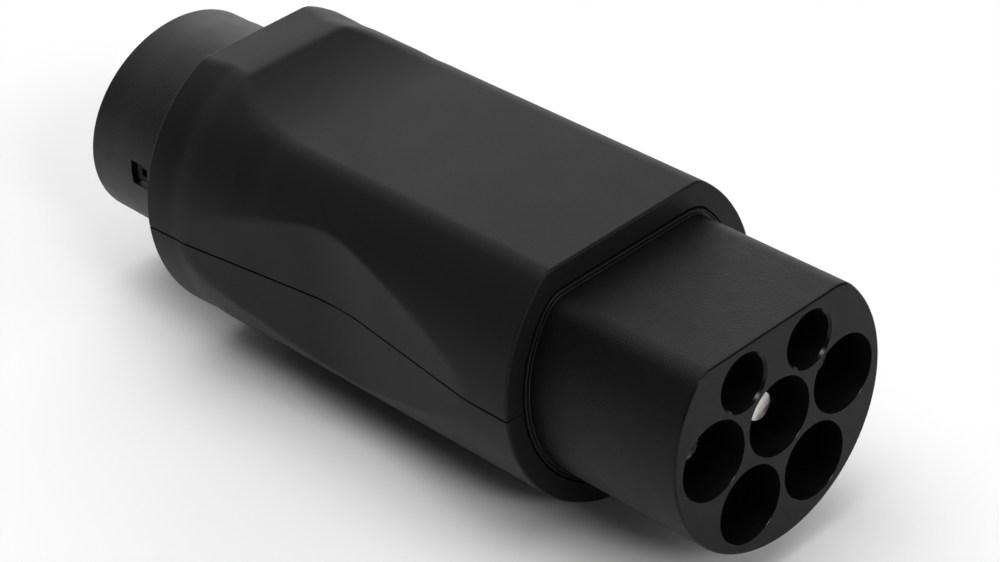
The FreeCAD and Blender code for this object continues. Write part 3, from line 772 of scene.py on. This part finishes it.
# Seals: a moulded rubber ring in the collar's flange, and the lip ring that closes the gap round the plug's
# nose. The lip stands a little proud of the housing's front face, with two fine beads and a groove between
# them.
rubber_black = "#060607"
rubber_grey = "#0F0F10"
rubber_gloss = 0.25
rubber_bloom = 1.2 * MM
seal_width = 1.1 * MM
seal_depth = 1.6 * MM
seal_stand_out = 0.5 * MM
bead_width = 0.32 * MM
bead_fall = 0.45 * MM
outer_bead_drop = 0.15 * MM
bead_steps = 8


def bead(edge, crown):
    """A half-round bead from its outer edge in, as (x, rise). crown is how far it stands out of the face."""
    radius = bead_width / 2
    return [(front_face + crown - radius + radius * math.sin(turn), edge - radius + radius * math.cos(turn))
            for turn in spread(0.0, math.pi, bead_steps)]


# Moulded rubber: a matt black with a faint dusty bloom.
rubber = mottled_finish("moulded_rubber", rubber_black, rubber_grey, rubber_bloom, detail=6.0,
                        roughness=(0.4, 0.6), relief=0.1, shading={"Specular IOR Level": rubber_gloss})
dress_node("collar_seal", rubber)
lip = bmesh.new()
low_x = front_face - seal_depth
groove_x = front_face + seal_stand_out - bead_fall
profile = [(low_x, 0.0), (low_x, seal_width)]
profile += bead(seal_width, seal_stand_out - outer_bead_drop)
profile += [(groove_x, seal_width - bead_width), (groove_x, bead_width)]
profile += bead(bead_width, seal_stand_out)
skin(lip, [plug_row(x, rise) for x, rise in profile], wrap=True)
finish_piece(lip, "nose_lip", rubber, "nose_seal", sharp_angle=30.0)

# Housing: two shells moulded in ABS with a soft-touch coating, parted along the sides at mid height. The
# upper has the flat top that ramps up to a raised rim, and both have half of each grip scoop. Ribs and
# bosses stand inside.
housing_flat = 26.6 * MM
housing_corner = 5.5 * MM
housing_round = 0.5 * MM
rim_rise = 4.6 * MM
rim_swell = 0.38 * MM
ramp_corner_growth = 1.5 * MM
parting_z = -0.2 * MM
parting_gap = 0.3 * MM
parting_lip = 0.12 * MM
scoop_middle = front_face - 53.9 * MM
scoop_depth = 4.8 * MM
scoop_slope = math.radians(7.1)
scoop_bottom_radius = 60.0 * MM
scoop_blend = 0.35 * MM
scoop_bunch = 1.6 * scoop_blend
scoop_bunch_steps = 8
fit = 0.2 * MM
collar_hole = collar_root_radius + fit
seal_gap = 0.35 * MM
rebate_edge = 0.12 * MM
rib_thickness = 2.0 * MM
boss_radius = 4.6 * MM
rear_screw_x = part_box("housing_screws")[0].x + screw_head_radius
rear_screw_spread = 19.5 * MM
rear_screw_grip = 9.0 * MM
screw_clearance_radius = 1.9 * MM
board_low, board_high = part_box("coding_board")
board_rib_inset = 3.0 * MM
skin_rows = 220
inside_rows = 60

# The ramp and rim from front to rear: the distance from the rear face in millimetres, then the share of the
# rim's rise, of its swell and of the corner's growth. The ramp ends 13.6 mm from the rear face, at the rim.
ramp_facts = [
    (39.6, 0.0, 0.0, 0.0),
    (35.6, 0.015, 0.1, 0.1),
    (31.0, 0.08, -0.12, 0.3),
    (25.3, 0.24, 0.4, 0.6),
    (19.6, 0.52, 0.5, 1.0),
    (15.4, 0.83, 0.65, 0.9),
    (13.6, 0.97, 0.7, 0.7),
    (10.9, 1.0, 0.45, 0.5),
    (8.1, 0.995, 0.13, 0.45),
    (4.1, 0.975, 0.65, 0.4),
    (0.0, 0.95, 1.0, 0.3),
]
ramp_stations = [(front_face, 0.0, 0.0, 0.0)]
ramp_stations += [(rear_face + distance * MM, *shares) for distance, *shares in ramp_facts]


def station_slope(k, column):
    """The slope of one column of the ramp's stations at station k."""
    first, last = ramp_stations[max(k - 1, 0)], ramp_stations[min(k + 1, len(ramp_stations) - 1)]
    return (last[column] - first[column]) / (last[0] - first[0]) if k > 1 else 0.0


def rim_at(x):
    """The shares of rise, swell and corner growth at x, on a smooth curve through the stations."""
    last = len(ramp_stations) - 2
    k = next(n for n in range(last + 1) if x >= ramp_stations[n + 1][0] or n == last)
    near, beyond = ramp_stations[k], ramp_stations[k + 1]
    span = beyond[0] - near[0]
    t = (x - near[0]) / span
    shares = []
    for column in (1, 2, 3):
        shares.append(
            (2 * t ** 3 - 3 * t ** 2 + 1) * near[column] + (3 * t ** 2 - 2 * t ** 3) * beyond[column]
            + (t ** 3 - 2 * t ** 2 + t) * span * station_slope(k, column)
            + (t ** 3 - t ** 2) * span * station_slope(k + 1, column))
    return shares


def scoop_half_width(x):
    """Half the housing's width between the scoops at x: two gentle slopes joined by an arc."""
    away = abs(x - scoop_middle)
    half = scoop_bottom_radius * math.sin(scoop_slope)
    floor = housing_radius - scoop_depth
    if away < half:
        return floor + scoop_bottom_radius - math.sqrt(scoop_bottom_radius ** 2 - away ** 2)
    drop = scoop_bottom_radius * (1 - math.cos(scoop_slope))
    return floor + drop + (away - half) * math.tan(scoop_slope)


def least(a, b, blend):
    """The smaller of two values, rounded where they are close."""
    near = max(blend - abs(a - b), 0.0)
    return min(a, b) - near * near / (4 * blend)


def side_turns(start, end, radius, limit, below, above):
    """Angles from start to end up a round side, drawn together where the scoop's edge crosses it."""
    bunch = scoop_bunch / radius
    edge = math.acos(min(1.0, limit / radius))
    edge = min(max(edge, start + 2 * bunch), end - 2 * bunch)
    return stretches([start, edge - bunch, edge + bunch, end], (below, scoop_bunch_steps, above))


def parting_start(radius, edge):
    """The first point of a shell's outline, on the parting edge and a lip's depth inside the skin."""
    return math.sqrt((radius - parting_lip) ** 2 - edge ** 2), edge


def upper_outline(radius, flat, corner, edge, limit):
    """From the parting edge up over the shell to mid flat, as (y, z)."""
    meet = d_corner(radius, flat, corner)[2]
    start = math.asin((edge + parting_lip) / radius)
    turns = side_turns(start, meet, radius, limit, below=30, above=24)
    return [parting_start(radius, edge)] + arc(radius, turns) + d_top(radius, flat, corner)


def lower_outline(radius, flat, corner, edge, limit):
    """From the parting edge down round the shell to its lowest point, as (y, z). It has no flat or corner."""
    start = math.asin((parting_lip - edge) / radius)
    turns = side_turns(start, math.pi / 2, radius, limit, below=30, above=56)
    return [parting_start(radius, edge)] + [(y, -z) for y, z in arc(radius, turns)]


def shell_rows(outline, side):
    """The closed run of rows round a shell's wall: opening, front face, skin, rear face, then back inside."""
    groove_edge = parting_z + side * parting_gap / 2

    def form_row(x, inset, edge=groove_edge):
        """The housing's outline at x with its scoops, drawn in by inset."""
        rise, swell, growth = rim_at(x)
        limit = scoop_half_width(x) - inset
        half = outline(housing_radius + swell * rim_swell - inset, housing_flat + rise * rim_rise - inset,
                       housing_corner + growth * ramp_corner_growth - inset, edge, limit)
        row = [(x, least(y, limit, scoop_blend), z) for y, z in half]
        row[0] = (x, min(half[0][0], limit - parting_lip), half[0][1])
        return row

    def plug_hole(x, rise):
        """The outline at x of the hole that the plug passes through."""
        radius = plug_radius + rise
        half = outline(radius, plug_flat + rise, plug_corner + rise, parting_z, radius)
        return [(x, y, z) for y, z in half]

    def between(first, second, shares):
        """Rows on a flat face at these shares of the way between two of its rows."""
        return [[tuple(a + (b - a) * share for a, b in zip(p, q)) for p, q in zip(first, second)]
                for share in shares]

    def round_hole(x, like):
        """The outline at x of the collar's hole, with a point in line with each of another row's."""
        turns = [math.atan2(z, y) for _, y, z in like]
        turns[0] = math.asin(parting_z / collar_hole)
        return [(x, y, z) for y, z in arc(collar_hole, turns)]

    def edge_rows(x, inward):
        """The round at an end face's edge, from the face to the skin. inward is the way along X."""
        bend = quarter_round(housing_round)[::-1]
        return [form_row(x + inward * setback, inset) for inset, setback in bend]

    rebate = seal_width + seal_gap
    rebate_floor = front_face - seal_depth
    rows = [plug_hole(cavity_front, fit), plug_hole(rebate_floor, fit)]
    rows += [plug_hole(x, rebate) for x in (rebate_floor, front_face - rebate_edge)]
    inner_edge = plug_hole(front_face, rebate + rebate_edge)
    outer_rim = form_row(front_face, housing_round)
    rows += [inner_edge] + between(inner_edge, outer_rim, (0.02, 0.98)) + edge_rows(front_face, -1)
    skin_start, skin_end = front_face - housing_round - support, rear_face + housing_round + support
    rows += [form_row(x, 0.0) for x in spread(skin_start, skin_end, skin_rows)]
    rows += edge_rows(rear_face, 1)[::-1]
    rear_rim = rows[-1]
    hole_rim = round_hole(rear_face, rear_rim)
    rows += between(rear_rim, hole_rim, (0.02, 0.5, 0.98)) + [hole_rim, round_hole(cavity_rear, rear_rim)]
    rib_rear = cavity_rear + collar_flange_thickness
    rib_front = flange_rear - rib_thickness
    rows += [form_row(x, wall, parting_z) for x in (cavity_rear, rib_rear)]
    rows += [round_hole(x, rear_rim) for x in (rib_rear, rib_rear + rib_thickness)]
    rows += [form_row(x, wall, parting_z) for x in spread(rib_rear + rib_thickness, rib_front, inside_rows)]
    rows += [plug_hole(x, fit) for x in (rib_front, flange_rear)]
    rows += [form_row(x, wall, parting_z) for x in (flange_rear, cavity_front)]
    return rows


def upright_solid(mesh, outline, low, high):
    """An upright closed solid on an outline of (x, y). low and high give its ends at y."""
    capped(mesh, [[(x, y, end(y)) for x, y in outline] for end in (low, high)])


def floor_wall(y):
    """A height in the middle of the lower shell's wall."""
    return -math.sqrt((housing_radius - wall / 2) ** 2 - y ** 2)


def roof_wall(y):
    """A height in the middle of the upper shell's wall."""
    return min(housing_flat - wall / 2, -floor_wall(y))


def under_plug(y):
    """The height of the hole's edge under the plug's root."""
    return -math.sqrt((plug_radius + fit) ** 2 - y ** 2)


def parting(y):
    """The height of the parting, which is level."""
    return parting_z


def make_shell(name, node, outline, side, bosses, holes):
    """One shell: its wall, joined with the bosses and ribs inside it and cut by the screws' holes."""
    mesh = bmesh.new()
    made = skin(mesh, [mirrored(half) for half in shell_rows(outline, side)], closed=False, wrap=True)
    for column_end in (0, -1):
        fill(mesh, [[row[column_end] for row in made]])
    mesh = combine(mesh, bosses, "UNION")
    mesh = combine(mesh, holes, "DIFFERENCE")
    finish_piece(mesh, name, coated, node, sharp_angle=32.0)


coat_black = "#0B0B0C"
coat_grey = "#131314"
coat_gloss = 0.16
coat_roughness = (0.5, 0.58)
coat_grain = 0.25 * MM
coat_cloud = 12.0 * MM
coat_depth = 0.06 * MM


def soft_touch_coating():
    """Soft-touch lacquer over ABS: a deep matt black with a fine even grain and a wide soft sheen.

    The grain is drawn about twice as wide as the real one, so that it shows.
    """
    material, tree, place = start_material("soft_touch_coating")
    grain = add_node(tree, "ShaderNodeTexNoise", {"Vector": place, "Scale": 1 / coat_grain, "Detail": 3.0})
    cloud = add_node(tree, "ShaderNodeTexNoise", {"Vector": place, "Scale": 1 / coat_cloud, "Detail": 5.0})
    colour = add_node(tree, "ShaderNodeValToRGB", {"Fac": grain.outputs["Fac"]})
    colour.color_ramp.elements[0].position = 0.3
    colour.color_ramp.elements[0].color = linear(coat_black)
    colour.color_ramp.elements[1].position = 0.7
    colour.color_ramp.elements[1].color = linear(coat_grey)
    rough = add_node(tree, "ShaderNodeMapRange", {
        "Value": cloud.outputs["Fac"], "To Min": coat_roughness[0], "To Max": coat_roughness[1]})
    bump = add_node(tree, "ShaderNodeBump", {
        "Height": grain.outputs["Fac"], "Strength": 0.6, "Distance": coat_depth})
    shader = add_node(tree, "ShaderNodeBsdfPrincipled", {
        "Base Color": colour.outputs["Color"],
        "Roughness": rough.outputs["Result"],
        "Specular IOR Level": coat_gloss,
        "Normal": bump.outputs["Normal"],
    })
    add_node(tree, "ShaderNodeOutputMaterial", {"Surface": shader.outputs["BSDF"]})
    return material


coated = soft_touch_coating()
front_places = [(front_screw_x, side * front_screw_spread) for side in (-1, 1)]
rear_places = [(rear_screw_x, side * rear_screw_spread) for side in (-1, 1)]
upper_bosses, upper_holes, lower_bosses, lower_holes = [bmesh.new() for _ in range(4)]
recess_radius = screw_head_radius + fit
for x, y in rear_places:
    outline = [point[:2] for point in upright_row(x, y, boss_radius, 0.0)]
    upright_solid(upper_bosses, outline, parting, roof_wall)
    upright_solid(lower_bosses, outline, floor_wall, parting)
    stepped_bore(upper_holes, x, y, [(screw_radius, parting_z - wall, parting_z + rear_screw_grip)])
    stepped_bore(lower_holes, x, y, [(recess_radius, -housing_radius, head_seat(y)),
                                     (screw_clearance_radius, head_seat(y), parting_z + wall)])
for x, y in front_places:
    outline = [point[:2] for point in upright_row(x, y, boss_radius, 0.0)]
    upright_solid(lower_bosses, outline, floor_wall, under_plug)
    stepped_bore(lower_holes, x, y, [(recess_radius, -housing_radius, head_seat(y)),
                                     (screw_clearance_radius, head_seat(y), parting_z - wall)])
for side in (-1, 1):
    middle = scoop_middle + side * ((board_high.x - board_low.x) / 2 - board_rib_inset)
    xs = (middle - rib_thickness / 2, middle + rib_thickness / 2)
    outline = [(xs[0], board_low.y), (xs[1], board_low.y), (xs[1], board_high.y), (xs[0], board_high.y)]
    upright_solid(lower_bosses, outline, floor_wall, lambda y: board_low.z)
make_shell("upper_shell", "upper_housing", upper_outline, 1, upper_bosses, upper_holes)
make_shell("lower_shell", "lower_housing", lower_outline, -1, lower_bosses, lower_holes)

# Housing screws: four zinc-plated steel screws with a six-lobed drive, driven up from the underside. Two
# short ones go into the plug's root and two long ones pull the shells together, all with their heads in
# recesses.
thread_pitch = 1.25 * MM
thread_depth = 0.25 * MM
thread_steps = 8
drive_radius = 1.45 * MM
drive_lobe = 0.22 * MM
drive_lobes = 6
drive_depth = 1.5 * MM
head_bevel = 0.35 * MM
rear_screw_length = parting_z + rear_screw_grip - head_seat(rear_screw_spread)


def lobed_row(x, y, z):
    """A level outline of the drive's recess, with its round lobes."""
    return shaped_row(x, y, z, lambda a: drive_radius + drive_lobe * math.cos(drive_lobes * a))


def threaded_row(x, y, z):
    """A level outline of the shank at z, where the thread's crest turns with the height."""
    crest = 2 * math.pi * z / thread_pitch
    return shaped_row(x, y, z, lambda a: screw_radius - thread_depth * (0.5 - 0.5 * math.cos(crest - a)))


screws = bmesh.new()
for places, length in ((front_places, front_screw_length), (rear_places, rear_screw_length)):
    for x, y in places:
        seat = head_seat(y)
        face = seat - screw_head_height
        rows = [lobed_row(x, y, face + drive_depth), lobed_row(x, y, face)]
        head = [(screw_head_radius - head_bevel, face), (screw_head_radius, face + head_bevel),
                (screw_head_radius, seat), (screw_radius, seat)]
        rows += [upright_row(x, y, radius, z) for radius, z in head]
        turns = round(length / thread_pitch * thread_steps)
        rows += [threaded_row(x, y, z) for z in spread(seat + support, seat + length, turns)]
        capped(screws, rows)
finish_piece(screws, "shell_screws", zinc, "housing_screws", sharp_angle=30.0)

# Studio: a white floor under one sky of soft boxes, and a camera at the photograph's angle. The boxes stand
# overhead, low behind the adapter and low at its plug's side, so the near side stays dark. A small lamp
# higher up at the plug's side makes the edges of the ways glint.
floor_white = "#FFFFFF"
floor_mottle = "#FCFCFC"
floor_patch = 50.0 * MM
floor_reach = 4.0

# Each box: its azimuth, elevation and half-width in degrees, and its strength.
softboxes = {
    "overhead": (200, 78, 34, 3.5),
    "overhead_front": (20, 72, 30, 1.8),
    "back_low": (172, 7, 34, 2.5),
    "back_right": (132, 19, 32, 3.0),
    "plug_side": (15, 5, 32, 3.9),
    "edge_lamp": (346, 33, 8, 24.0),
}
softbox_core = 0.25
camera_place = (308.2 * MM, -324.2 * MM, 331.5 * MM)
camera_azimuth = math.radians(49.77)
camera_elevation = math.radians(33.59)
camera_roll = math.radians(-5.99)
focal_length = 108.64
sensor_width = 36.0


def painted_floor():
    """Matt white paint with a faint mottle."""
    material, tree, place = start_material("matt_white_paint")
    mottle = add_node(tree, "ShaderNodeTexNoise", {"Vector": place, "Scale": 1 / floor_patch})
    colour = add_node(tree, "ShaderNodeValToRGB", {"Fac": mottle.outputs["Fac"]})
    colour.color_ramp.elements[0].color = linear(floor_mottle)
    colour.color_ramp.elements[1].color = linear(floor_white)
    shader = add_node(tree, "ShaderNodeBsdfPrincipled", {
        "Base Color": colour.outputs["Color"], "Roughness": 0.9, "Specular IOR Level": 0.0})
    add_node(tree, "ShaderNodeOutputMaterial", {"Surface": shader.outputs["BSDF"]})
    return material


floor_mesh = bmesh.new()
floor_z = cad_box[0].z
floor_ends = (-floor_reach, floor_reach)
skin(floor_mesh, [[(x, y, floor_z) for x in floor_ends] for y in floor_ends], closed=False)
floor_data = bpy.data.meshes.new("studio_floor")
floor_mesh.to_mesh(floor_data)
floor_mesh.free()
floor_data.materials.append(painted_floor())
floor = bpy.data.objects.new("studio_floor", floor_data)
bpy.context.scene.collection.objects.link(floor)

world = bpy.data.worlds.new("studio")
bpy.context.scene.world = world
world.use_nodes = True
sky = world.node_tree
sky.nodes.clear()
towards = add_node(sky, "ShaderNodeTexCoord", {}).outputs["Generated"]
light = 0.0
for azimuth, elevation, half_width, strength in softboxes.values():
    a, e, outer = math.radians(azimuth), math.radians(elevation), math.radians(half_width)
    middle = (math.cos(a) * math.cos(e), math.sin(a) * math.cos(e), math.sin(e))
    nearness = add_node(sky, "ShaderNodeVectorMath", {"operation": "DOT_PRODUCT", 0: towards, 1: middle})
    box = add_node(sky, "ShaderNodeMapRange", {
        "interpolation_type": "SMOOTHSTEP", "Value": nearness.outputs["Value"], "To Max": strength,
        "From Min": math.cos(outer), "From Max": math.cos(softbox_core * outer)})
    light = add_node(sky, "ShaderNodeMath", {
        "operation": "ADD", 0: box.outputs["Result"], 1: light}).outputs["Value"]
glow = add_node(sky, "ShaderNodeBackground", {"Strength": light})
add_node(sky, "ShaderNodeOutputWorld", {"Surface": glow.outputs["Background"]})

camera_data = bpy.data.cameras.new("camera")
camera_data.lens = focal_length
camera_data.sensor_width = sensor_width
camera_data.clip_start = 0.01
camera = bpy.data.objects.new("camera", camera_data)
turn = Matrix.Rotation(camera_azimuth, 4, "Z") @ Matrix.Rotation(math.pi / 2 - camera_elevation, 4, "X")
camera.matrix_world = Matrix.Translation(camera_place) @ turn @ Matrix.Rotation(camera_roll, 4, "Z")
bpy.context.scene.collection.objects.link(camera)
bpy.context.scene.camera = camera
bpy.context.scene.view_settings.view_transform = "Standard"
